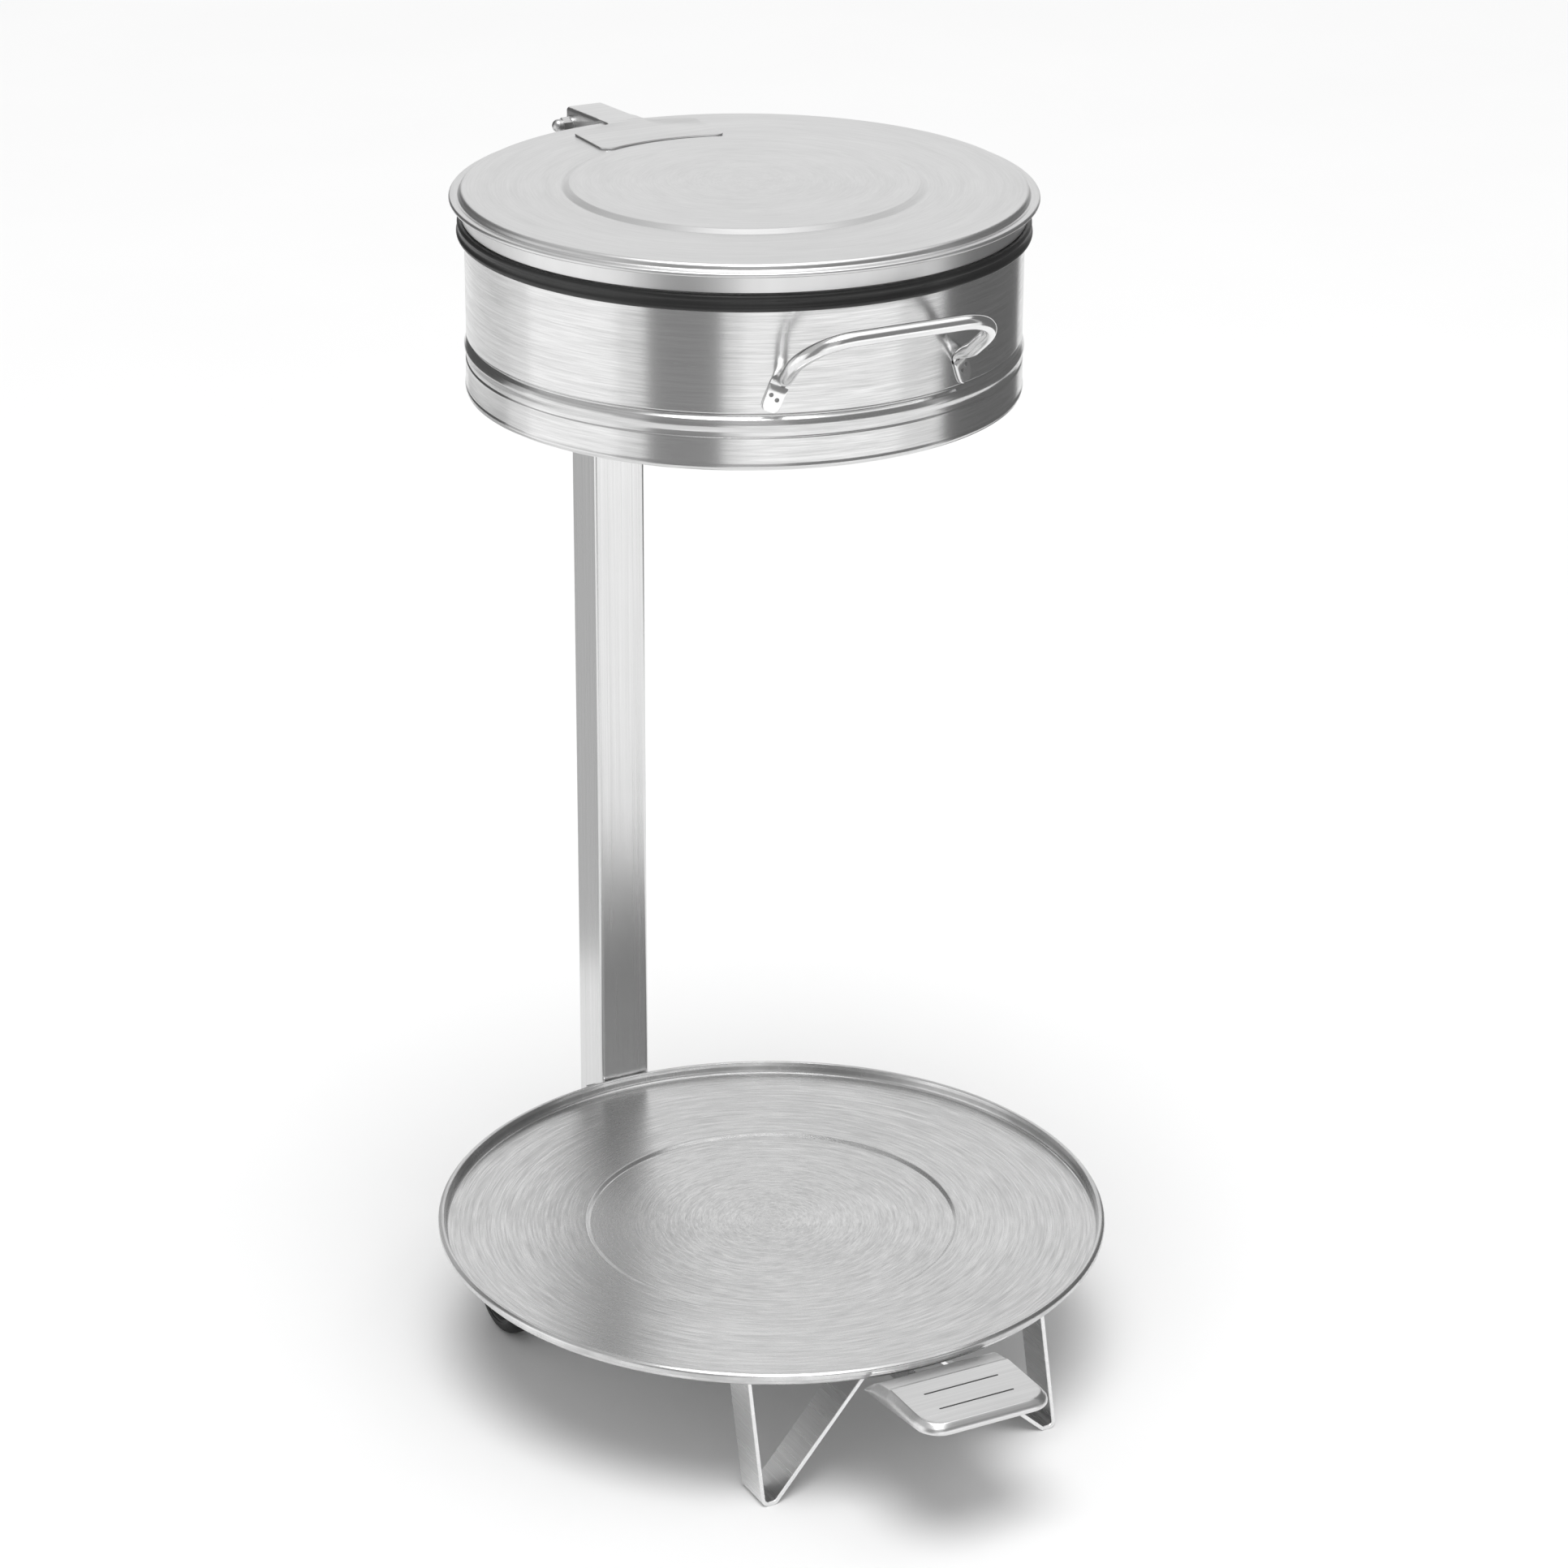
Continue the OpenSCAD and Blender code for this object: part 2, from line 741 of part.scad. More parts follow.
// Shoulder, lip and skirt round the flat top
module lid_skirt() {
    lip_z = lid_top - 5.4;
    lip_bead_r = 1.7;
    color(bright) at_mouth()
        rotate_extrude()
            polygon(concat(
                arc([flat_r, lid_top - 4], 4, 90, 20, 8),
                [[flat_r + 5.7, lid_top - 3.3], [lid_r - 2.4, lid_top - 3.7]],
                arc([lid_r - lip_bead_r, lip_z], lip_bead_r, 80, -90, 8),
                [[skirt_r, lip_z - lip_bead_r], [skirt_r, skirt_bottom], [skirt_r - lid_t, skirt_bottom],
                    [skirt_r - lid_t, lid_top - 4.4], [flat_r + 0.6, lid_top - lid_t],
                    [flat_r, lid_top - lid_t]]));
}

// Ear of the hinge bracket, in Y and Z: round the bolt and tapering up to the tab
module ear_outline() {
    difference() {
        union() {
            translate([pin_y, pin_z])
                circle(ear_r);
            polygon([[pin_y - 3, pin_z - 6.3], [238, lid_top], [238, bracket_z],
                [pin_y + ear_r, bracket_z], [pin_y + ear_r, pin_z]]);
        }
        translate([pin_y, pin_z])
            circle(pin_d / 2 + bolt_fit);
    }
}

module hinge_bracket() {
    corner = 6;
    shoulder = 12;                          // slope of the wing's rear edge up to the tab
    color(bright) at_plate() {
        translate([0, 0, lid_top])
            linear_extrude(bracket_t)
                union() {
                    difference() {
                        translate([-wing_x, mouth_y + 90])
                            square([2 * wing_x, wing_back - mouth_y - 90]);
                        translate([0, mouth_y])
                            circle(wing_front_r, $fn = 180);
                        for (s = [-1, 1])
                            translate([s * (wing_x - corner), wing_back - corner])
                                difference() {
                                    translate([s > 0 ? 0 : -corner - 1, 0])
                                        square([corner + 1, corner + 1]);
                                    circle(corner);
                                }
                    }
                    translate([-ear_x, wing_back - 1])
                        square([2 * ear_x, pin_y + ear_r - wing_back + 1]);
                    polygon([[corner - wing_x, wing_back - 1], [wing_x - corner, wing_back - 1],
                        [wing_x - corner, wing_back], [ear_x, wing_back + shoulder],
                        [-ear_x, wing_back + shoulder], [corner - wing_x, wing_back]]);
                }
        for (s = [-1, 1])
            plate_yz(s > 0 ? ear_x - bracket_t : -ear_x, s > 0 ? ear_x : bracket_t - ear_x)
                ear_outline();
    }
}

// Countersunk rivet, flush with the wing's top
module bracket_rivet(side) {
    color(steel) at_plate()
        translate([side * 30, 192, lid_top - lid_t - 1])
            cylinder(h = 1, r = 4);
}

module bracket_rivet_left() { bracket_rivet(-1); }

module bracket_rivet_right() { bracket_rivet(1); }

module lift_pin() {
    reach = ear_x - bracket_t;
    color(steel) at_plate()
        rod_x(-reach, reach, column_y, lift_pin_z, lift_pin_d / 2);
}

module hinge_bolt() {
    color(steel) at_plate() {
        rod_x(-nut_x - 8, nut_x + 0.5, pin_y, pin_z, pin_d / 2);
        translate([nut_x, pin_y, pin_z])
            rotate([0, 90, 0])
                cylinder(h = 4, r = 5.77, $fn = 6);
    }
}

module hinge_washer(side) {
    color("dimgray") at_plate()
        difference() {
            rod_x(side > 0 ? ear_x : -nut_x, side > 0 ? nut_x : -ear_x, pin_y, pin_z, 6.2);
            rod_x(-50, 50, pin_y, pin_z, pin_d / 2 + bolt_fit);
        }
}

module washer_left() { hinge_washer(-1); }

module washer_right() { hinge_washer(1); }

// Domed cap nut on the hinge bolt's left end
module acorn_nut() {
    hex_h = 6;
    dome_r = 4.7;
    color(steel) at_plate()
        translate([-nut_x, pin_y, pin_z])
            rotate([0, -90, 0])
                difference() {
                    union() {
                        cylinder(h = hex_h, r = 5.77, $fn = 6);
                        translate([0, 0, hex_h])
                            cylinder(h = 3, r = dome_r);
                        translate([0, 0, hex_h + 3])
                            dome(dome_r, 4);
                    }
                    translate([0, 0, -1])
                        cylinder(h = 9 + 0.05, d = pin_d + 2 * bolt_fit);
                }
}

base_plate();
front_foot();
rail_left();
rail_right();
column();
column_cap();
hinge_lug_left();
hinge_lug_right();
rod_guide();
collar();
collar_spacer();
collar_bolt_upper();
collar_bolt_lower();
bag_ring();
handle();
pivot_pin();
pivot_clip_left();
pivot_clip_right();
wheel_bracket_left();
wheel_bracket_right();
axle_left();
axle_right();
axle_nut_left();
axle_nut_right();
lever();
lever_bush();
pedal();
pedal_rivet_front();
pedal_rivet_rear();
push_rod();
push_head();
rod_foot();
lid_disc();
lid_skirt();
hinge_bracket();
bracket_rivet_left();
bracket_rivet_right();
lift_pin();
hinge_bolt();
washer_left();
washer_right();
acorn_nut();
tyre_left();
hub_left();
tyre_right();
hub_right();
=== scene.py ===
import json
import math

import bpy
from mathutils import Matrix, Vector


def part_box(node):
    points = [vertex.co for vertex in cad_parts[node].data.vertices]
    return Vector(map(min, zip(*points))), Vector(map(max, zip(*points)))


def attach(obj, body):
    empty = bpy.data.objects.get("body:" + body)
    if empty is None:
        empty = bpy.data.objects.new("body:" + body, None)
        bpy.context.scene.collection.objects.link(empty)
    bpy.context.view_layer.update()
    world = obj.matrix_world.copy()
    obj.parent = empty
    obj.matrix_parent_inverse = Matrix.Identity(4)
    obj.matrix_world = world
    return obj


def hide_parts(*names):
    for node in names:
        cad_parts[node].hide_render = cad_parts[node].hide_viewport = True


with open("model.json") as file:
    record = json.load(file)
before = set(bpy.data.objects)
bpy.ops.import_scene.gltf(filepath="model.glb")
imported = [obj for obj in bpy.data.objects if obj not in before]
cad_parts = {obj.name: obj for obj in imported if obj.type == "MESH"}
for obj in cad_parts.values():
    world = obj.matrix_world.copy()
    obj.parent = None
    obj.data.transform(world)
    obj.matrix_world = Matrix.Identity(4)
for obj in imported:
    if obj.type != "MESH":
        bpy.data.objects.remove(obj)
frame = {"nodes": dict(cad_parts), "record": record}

MM = 0.001
PLATE = (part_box("base_plate")[0].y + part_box("base_plate")[1].y) / 2 / MM     # base plate's axis, mm along Y
MOUTH = (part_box("collar")[0].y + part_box("collar")[1].y) / 2 / MM             # collar's and lid's axis


# ---- Materials ----

class Shader:
    """A node-based material; links and nodes are made by short calls."""

    def __init__(self, name):
        self.mat = bpy.data.materials.new(name)
        self.mat.use_nodes = True
        self.tree = self.mat.node_tree
        self.tree.nodes.clear()
        self.out = self.node("ShaderNodeOutputMaterial")
        self.bsdf = self.node("ShaderNodeBsdfPrincipled")
        self.tree.links.new(self.bsdf.outputs["BSDF"], self.out.inputs["Surface"])

    def node(self, kind, **settings):
        n = self.tree.nodes.new(kind)
        for k, v in settings.items():
            setattr(n, k, v)
        return n

    def link(self, a, b):
        self.tree.links.new(a, b)

    def math(self, op, a, b=None):
        n = self.node("ShaderNodeMath", operation=op)
        for i, v in enumerate((a, b)):
            if v is None:
                continue
            if isinstance(v, (int, float)):
                n.inputs[i].default_value = v
            else:
                self.link(v, n.inputs[i])
        return n.outputs[0]

    def object_xyz(self):
        coords = self.node("ShaderNodeTexCoord")
        split = self.node("ShaderNodeSeparateXYZ")
        self.link(coords.outputs["Object"], split.inputs[0])
        return coords.outputs["Object"], split.outputs

    def join(self, x, y, z):
        n = self.node("ShaderNodeCombineXYZ")
        for i, v in enumerate((x, y, z)):
            if isinstance(v, (int, float)):
                n.inputs[i].default_value = v
            else:
                self.link(v, n.inputs[i])
        return n.outputs[0]

    def noise(self, vector, scale=1.0, detail=2.0, rough=0.5):
        n = self.node("ShaderNodeTexNoise")
        n.inputs["Scale"].default_value = scale
        n.inputs["Detail"].default_value = detail
        n.inputs["Roughness"].default_value = rough
        self.link(vector, n.inputs["Vector"])
        return n.outputs["Fac"]

    def remap(self, value, a, b, lo=0.3, hi=0.7):
        n = self.node("ShaderNodeMapRange")
        self.link(value, n.inputs["Value"])
        for key, v in (("From Min", lo), ("From Max", hi), ("To Min", a), ("To Max", b)):
            n.inputs[key].default_value = v
        return n.outputs["Result"]

    def ramp(self, value, *stops):
        n = self.node("ShaderNodeValToRGB")
        el = n.color_ramp.elements
        for i, (pos, c) in enumerate(stops):
            e = el[i] if i < 2 else el.new(pos)
            e.position = pos
            e.color = (*c, 1)
        self.link(value, n.inputs["Fac"])
        return n.outputs["Color"]

    def bump(self, height, strength, distance, under=None):
        n = self.node("ShaderNodeBump")
        n.inputs["Strength"].default_value = strength
        n.inputs["Distance"].default_value = distance
        self.link(height, n.inputs["Height"])
        if under is not None:
            self.link(under, n.inputs["Normal"])
        return n.outputs["Normal"]


def grey(v, cool=0.0):
    return (v * (1 - cool), v, v * (1 + cool))


def brushed(name, lines, axis_y=0.0, tone=(0.66, 0.8), rough=(0.2, 0.32), aniso=0.0, turn=0.0,
            fine=1800.0, coarse=320.0, run=14.0, bump=0.25, blotch=0.05):
    """Brushed steel. lines: rings (on a disc), wall (round a cylinder), x, y or z (straight along that axis)."""
    s = Shader(name)
    place, (x, y, z) = s.object_xyz()
    if lines in ("rings", "wall"):
        yc = s.math("SUBTRACT", y, axis_y * MM)
        r = s.math("SQRT", s.math("ADD", s.math("MULTIPLY", x, x), s.math("MULTIPLY", yc, yc)))
        ux = s.math("DIVIDE", x, s.math("MAXIMUM", r, 0.001))
        uy = s.math("DIVIDE", yc, s.math("MAXIMUM", r, 0.001))
        across = r if lines == "rings" else z
        streak = lambda k, m: s.join(s.math("MULTIPLY", across, k), s.math("MULTIPLY", ux, m),
                                     s.math("MULTIPLY", uy, m))
    else:
        def streak(k, m):
            parts = [s.math("MULTIPLY", v, m if axis == lines else k) for v, axis in ((x, "x"), (y, "y"), (z, "z"))]
            return s.join(*parts)
    hair = s.noise(streak(fine, run), detail=3, rough=0.6)
    band = s.noise(streak(coarse, run * 0.35), detail=4, rough=0.65)
    cloud = s.noise(place, scale=14, detail=3, rough=0.6)
    grain = s.math("ADD", s.math("MULTIPLY", hair, 0.5), s.math("MULTIPLY", band, 0.5))
    mixed = s.math("ADD", grain, s.math("MULTIPLY", s.math("SUBTRACT", cloud, 0.5), blotch * 4))
    s.link(s.ramp(mixed, (0.36, grey(tone[0])), (0.64, grey(tone[1]))), s.bsdf.inputs["Base Color"])
    s.link(s.remap(mixed, rough[1], rough[0]), s.bsdf.inputs["Roughness"])
    s.bsdf.inputs["Metallic"].default_value = 1.0
    s.link(s.bump(grain, bump, 0.0002), s.bsdf.inputs["Normal"])
    if aniso:
        s.bsdf.inputs["Anisotropic"].default_value = aniso
        s.bsdf.inputs["Anisotropic Rotation"].default_value = turn
        t = s.node("ShaderNodeTangent", direction_type="RADIAL", axis="Z")
        s.link(t.outputs[0], s.bsdf.inputs["Tangent"])
    return s.mat


def plain_steel(name, tone=(0.45, 0.62), rough=(0.22, 0.4)):
    """Bright drawn or turned steel with faint marks."""
    s = Shader(name)
    place, _ = s.object_xyz()
    marks = s.noise(place, scale=900, detail=4, rough=0.6)
    cloud = s.noise(place, scale=60, detail=3)
    mixed = s.math("ADD", s.math("MULTIPLY", marks, 0.5), s.math("MULTIPLY", cloud, 0.5))
    s.link(s.ramp(mixed, (0.35, grey(tone[0])), (0.65, grey(tone[1]))), s.bsdf.inputs["Base Color"])
    s.link(s.remap(mixed, rough[1], rough[0]), s.bsdf.inputs["Roughness"])
    s.bsdf.inputs["Metallic"].default_value = 1.0
    s.link(s.bump(marks, 0.08, 0.0002), s.bsdf.inputs["Normal"])
    return s.mat


def dark(name, tone, rough, grain=500.0, bump=0.15):
    """Black rubber or moulded plastic."""
    s = Shader(name)
    place, _ = s.object_xyz()
    dots = s.noise(place, scale=grain, detail=3, rough=0.6)
    cloud = s.noise(place, scale=30, detail=3)
    mixed = s.math("ADD", s.math("MULTIPLY", dots, 0.4), s.math("MULTIPLY", cloud, 0.6))
    s.link(s.ramp(mixed, (0.35, grey(tone[0])), (0.65, grey(tone[1]))), s.bsdf.inputs["Base Color"])
    s.link(s.remap(mixed, rough[1], rough[0]), s.bsdf.inputs["Roughness"])
    s.bsdf.inputs["Specular IOR Level"].default_value = 0.45
    s.link(s.bump(dots, bump, 0.0002), s.bsdf.inputs["Normal"])
    return s.mat


M = {
    "lid": brushed("lid_steel", "rings", MOUTH, tone=(0.66, 0.72), rough=(0.3, 0.38), bump=0.06, fine=900,
                   coarse=120, run=5, blotch=0.04),
    "dish": brushed("dish_steel", "rings", PLATE, tone=(0.53, 0.75), rough=(0.22, 0.34), aniso=0.75, turn=0.25,
                    fine=1100, coarse=420, run=9, bump=0.22, blotch=0.03),
    "wall": brushed("collar_steel", "wall", MOUTH, tone=(0.58, 0.74), rough=(0.18, 0.28), aniso=0.6, turn=0.25,
                    fine=1500, coarse=500, run=7, bump=0.12, blotch=0.02),
    "column": brushed("column_steel", "z", tone=(0.66, 0.76), rough=(0.2, 0.3), fine=1600, coarse=300, run=4,
                      bump=0.1, blotch=0.04),
    "strip": brushed("strip_steel", "y", tone=(0.7, 0.82), rough=(0.24, 0.34), fine=1500, coarse=300, run=12,
                     bump=0.1),
    "handle": brushed("handle_steel", "x", tone=(0.74, 0.84), rough=(0.14, 0.22), fine=1200, coarse=300, run=30,
                      bump=0.05),
    "pressed": brushed("pressed_steel", "x", tone=(0.64, 0.74), rough=(0.26, 0.36), fine=1200, coarse=240, run=10,
                       bump=0.06),
    "plain": plain_steel("plain_steel"),
    # near-black steel for the pedal's grooves: painted shade of their hollows, not the steel's own colour
    "groove": plain_steel("groove_steel", tone=(0.05, 0.1), rough=(0.45, 0.6)),
    "weld": plain_steel("weld_steel", tone=(0.16, 0.3), rough=(0.35, 0.5)),
    "rubber": dark("ring_rubber", (0.012, 0.02), (0.32, 0.42), grain=900, bump=0.05),
    "tyre": dark("tyre_rubber", (0.02, 0.035), (0.55, 0.7)),
    "plastic": dark("black_plastic", (0.02, 0.03), (0.4, 0.5)),
}
SLOT_MATERIAL = {"stainless": "column", "spun_stainless": "dish", "plain_steel": "plain", "ring_rubber": "rubber",
                 "tyre_rubber": "tyre", "black_plastic": "plastic"}


# ---- Mesh builders (all lengths in mm, in the shared frame) ----

def mesh(name, verts, faces, material, body, replaces=(), sharp=35.0):
    data = bpy.data.meshes.new(name)
    data.from_pydata([(x * MM, y * MM, z * MM) for x, y, z in verts], [], faces)
    data.validate()
    obj = bpy.data.objects.new(name, data)
    bpy.context.scene.collection.objects.link(obj)
    data.materials.append(M[material])
    data.polygons.foreach_set("use_smooth", [True] * len(data.polygons))
    data.set_sharp_from_angle(angle=math.radians(sharp))
    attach(obj, body)
    if replaces:
        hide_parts(*replaces)
    return obj


def corners(points, steps=6):
    """An outline with each corner (a, b, radius) rounded to a true arc."""
    out = []
    for i, (a, b, r) in enumerate(points):
        p = Vector((a, b))
        if r <= 0 or i in (0, len(points) - 1):
            out.append((a, b))
            continue
        u = Vector(points[i - 1][:2]) - p
        v = Vector(points[(i + 1) % len(points)][:2]) - p
        half = u.angle(v) / 2
        reach = min(r / math.tan(half), 0.49 * u.length, 0.49 * v.length)
        r = reach * math.tan(half)
        u, v = u.normalized(), v.normalized()
        centre = p + (u + v).normalized() * (r / math.sin(half))
        start, end = p + u * reach - centre, p + v * reach - centre
        sweep = start.angle_signed(end)
        for k in range(steps + 1):
            t = -sweep * k / steps
            out.append((centre.x + start.x * math.cos(t) - start.y * math.sin(t),
                        centre.y + start.x * math.sin(t) + start.y * math.cos(t)))
    return out


def lathe(name, profile, cy, material, body, replaces=(), turns=288, closed=True, sharp=35.0):
    """Turns a (radius, z) outline about the vertical axis x = 0, y = cy. Points on the axis become one vertex."""
    verts, faces, rows = [], [], []
    for r, z in profile:
        if r < 1e-6:
            verts.append((0, cy, z))
            rows.append([len(verts) - 1] * turns)
        else:
            rows.append(list(range(len(verts), len(verts) + turns)))
            verts += [(r * math.sin(2 * math.pi * k / turns), cy - r * math.cos(2 * math.pi * k / turns), z)
                      for k in range(turns)]
    n = len(rows)
    for i in range(n if closed else n - 1):
        a, b = rows[i], rows[(i + 1) % n]
        for k in range(turns):
            j = (k + 1) % turns
            face = [a[k], a[j], b[j], b[k]]
            face = [v for q, v in enumerate(face) if v != face[q - 1]]
            if len(set(face)) > 2:
                faces.append(face)
    return mesh(name, verts, faces, material, body, replaces, sharp)


def loft(loops, cap=True):
    """Faces between equal loops of points, capped at both ends."""
    n = len(loops[0])
    verts = [p for loop in loops for p in loop]
    faces = [[i * n + k, i * n + (k + 1) % n, (i + 1) * n + (k + 1) % n, (i + 1) * n + k]
             for i in range(len(loops) - 1) for k in range(n)]
    if cap:
        faces.append(list(range(n))[::-1])
        faces.append(list(range((len(loops) - 1) * n, len(loops) * n)))
    return verts, faces


# ---- Lid ----

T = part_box("hinge_bracket")[1].z / MM - 1.5       # lid's flat top
RAISED, STEP, RISE = 122.2, 5.6, 2.5              # raised centre's radius, its slope's width, its height
SKIRT = 188.8                                     # skirt's outer radius
SKIRT_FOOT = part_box("lid_skirt")[0].z / MM
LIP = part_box("lid_skirt")[1].x / MM
lid_outline = corners([
    (0, T + RISE, 0), (RAISED - STEP, T + RISE, 3), (RAISED, T, 3), (189.4, T, 4.6), (190.6, T - 4.4, 1.4),
    (193.2, T - 3.9, 1.2), (LIP, T - 4.0, 1.5), (LIP, T - 7.1, 1.4), (SKIRT, T - 7.1, 0.5),
    (SKIRT, SKIRT_FOOT, 0.4), (SKIRT - 1, SKIRT_FOOT, 0.4), (SKIRT - 1, T - 5, 0.5), (185.6, T - 1, 1),
    (RAISED - 0.5, T - 1, 2), (RAISED - STEP - 0.5, T + RISE - 1, 2), (0, T + RISE - 1, 0)], steps=8)
lathe("lid_shell", lid_outline, MOUTH, "lid", "lid", ("lid_disc", "lid_skirt"), closed=False)

# ---- Rubber ring ----

C_R = 187.3                       # collar's outer radius
C_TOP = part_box("collar")[1].z / MM
C_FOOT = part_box("collar")[0].z / MM


def arc(cx, cy, r, a0, a1, n=14):
    return [(cx + r * math.cos(math.radians(a0 + (a1 - a0) * k / n)),
             cy + r * math.sin(math.radians(a0 + (a1 - a0) * k / n))) for k in range(n + 1)]


ring = (arc(C_R + 1.9, C_TOP - 0.2, 2.7, 88, -38) + arc(C_R + 2.6, C_TOP - 6.4, 2.6, 42, -110)
        + [(C_R + 0.05, C_TOP - 8.5), (C_R + 0.05, C_TOP + 0.05), (C_R - 1.05, C_TOP + 0.05),
           (C_R - 1.05, C_TOP - 8.5), (C_R - 3, C_TOP - 8.5)]
        + arc(C_R - 2, C_TOP + 1.5, 1, 180, 90, 5))
lathe("bag_ring_rubber", ring, MOUTH, "rubber", "stand", ("bag_ring",), sharp=50)

# ---- Collar ----


def swell(z, w):
    return (1 + math.cos(math.pi * z / w)) / 2 if abs(z) < w else 0.0


def collar_radius(z):
    z -= C_FOOT
    step = 0.7 * min(1, max(0, (22.5 - z) / 1.0))
    return C_R - 1.8 * swell(z - 36, 2.6) + 1.5 * swell(z - 30, 5) + step + 0.6 * swell(z - 2.6, 2.2)


heights = [C_FOOT + 0.35 * k for k in range(1, 122)]
wall = [(collar_radius(z), z) for z in heights] + [(C_R, C_TOP - 30), (C_R, C_TOP)]
inner = [(C_R - 1, C_TOP), (C_R - 1, C_FOOT + 44)] + [(collar_radius(z) - 1, z) for z in heights[::-3]]
lathe("collar_shell", wall + inner, MOUTH, "wall", "stand", ("collar",))

# ---- Base plate ----

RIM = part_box("base_plate")[1].z / MM
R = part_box("base_plate")[1].x / MM
DISH = RIM - 8.8                  # flat of the dish
RECESS = 134.0                    # radius of the pressed round in its middle
plate = corners([
    (0, DISH - 2, 0), (RECESS - 3, DISH - 2, 2.5), (RECESS, DISH, 2.5), (R - 5.2, DISH, 3), (R - 5.2, RIM - 3.2, 1.2),
    (R - 4.4, RIM - 0.6, 1.0), (R - 2.6, RIM, 2.2), (R, RIM - 1.4, 2.0), (R, RIM - 5.2, 1.0),
    (R - 3.2, RIM - 5.2, 0.3), (R - 3.2, DISH - 0.5, 3), (R - 6.5, DISH - 2, 3),
    (134.6, DISH - 2, 2), (131.6, DISH - 4, 2), (0, DISH - 4, 0)], steps=7)
lathe("base_plate_shell", plate, PLATE, "dish", "stand", ("base_plate",), closed=False, turns=360)

# ---- Front foot: a flat strip bent into a W; its limbs lean forward on the way down ----

F0, F1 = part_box("front_foot")
FT, FOOT_W = 3.0, 30.0
foot_top, foot_front, foot_back = F1.z / MM, F0.y / MM, F1.y / MM
RAKE = foot_back - foot_front - FOOT_W
top, low, fx = foot_top - FT / 2, FT / 2, 115.0
half = [(4, top), (fx - 9, low), (fx, low), (fx, top), (fx - 22, top)]
path = corners([(-x, z, 4) for x, z in half[::-1]] + [(x, z, 4) for x, z in half], steps=8)


def offset(path, d):
    out = []
    for i, p in enumerate(path):
        p = Vector(p)
        n0 = p - Vector(path[i - 1]) if i else Vector(path[1]) - p
        n1 = Vector(path[i + 1]) - p if i < len(path) - 1 else n0
        n0, n1 = Vector((-n0.y, n0.x)).normalized(), Vector((-n1.y, n1.x)).normalized()
        m = p + (n0 + n1) * (d / (1 + n0.dot(n1)))
        out.append((m.x, m.y))
    return out


def strip_loops(path, t, y0, y1, e=0.35):
    """The strip's section with small chamfers, carried along the path and leaning forward."""
    section = [(-t / 2 + e, y0), (t / 2 - e, y0), (t / 2, y0 + e), (t / 2, y1 - e), (t / 2 - e, y1), (-t / 2 + e, y1),
               (-t / 2, y1 - e), (-t / 2, y0 + e)]
    sides = {d: offset(path, d) for d in {s[0] for s in section}}
    return [[(sides[d][i][0], y - RAKE * (1 - sides[d][i][1] / foot_top), sides[d][i][1]) for d, y in section]
            for i in range(len(path))]


v, f = loft(strip_loops(path, FT, foot_back - FOOT_W, foot_back))
mesh("front_foot_strip", v, f, "strip", "stand", ("front_foot",), sharp=25)

# ---- Handle: round bar with flattened, spot-welded ends ----

HX, HR, REACH, BEND = 67.0, 5.0, 57.0, 31.0
RISE_A, SPREAD, SPLAY = math.radians(41), math.radians(5.7), math.radians(22)
hz = C_FOOT + 60
tab_a = math.asin(HX / (C_R + 7))
root = Vector((HX, MOUTH - (C_R + 7) * math.cos(tab_a), hz))
out_n = Vector((math.sin(tab_a), -math.cos(tab_a), 0))              # away from the collar at the +X end
wall_x = Vector((math.cos(tab_a), math.sin(tab_a), 0))              # along the collar
tab_down = Vector((0, 0, -1)) * math.cos(SPLAY) + wall_x * math.sin(SPLAY)
rise = Vector((0, -math.cos(RISE_A), math.sin(RISE_A)))


def bezier(a, b, c, d, n):
    return [a * (1 - t) ** 3 + b * 3 * t * (1 - t) ** 2 + c * 3 * t * t * (1 - t) + d * t ** 3
            for t in [k / n for k in range(n + 1)]]


def handle_half():
    """Centre line of the +X half, from the flattened end's foot to the middle of the grip."""
    leg = rise * math.cos(SPREAD) + Vector((1, 0, 0)) * math.sin(SPREAD)
    turn = math.pi / 2 + SPREAD
    corner = root + Vector((1, 0, 0)) * (REACH * math.tan(SPREAD)) + rise * REACH
    run_end = corner - leg * (BEND * math.tan(turn / 2))
    neck = root - out_n * 6.1 + tab_down * 2.0
    line = [neck + tab_down * d for d in (19.5, 18.6, 17.0, 14.5, 11.0, 7.0, 3.0)]
    start = root + leg * 11
    line += bezier(neck, neck - tab_down * 5.0, start - leg * 7.5, start, 12)
    line += [start + (run_end - start) * k / 3 for k in (1, 2)]
    side = leg.cross(Vector((1, 0, 0)).cross(rise)).normalized()
    inward = -side if side.x > 0 else side
    centre = run_end + inward * BEND
    for k in range(19):
        a = turn * k / 18
        line.append(centre - inward * (BEND * math.cos(a)) + leg * (BEND * math.sin(a)))
    line.append(Vector((0, line[-1].y, line[-1].z)))
    return line


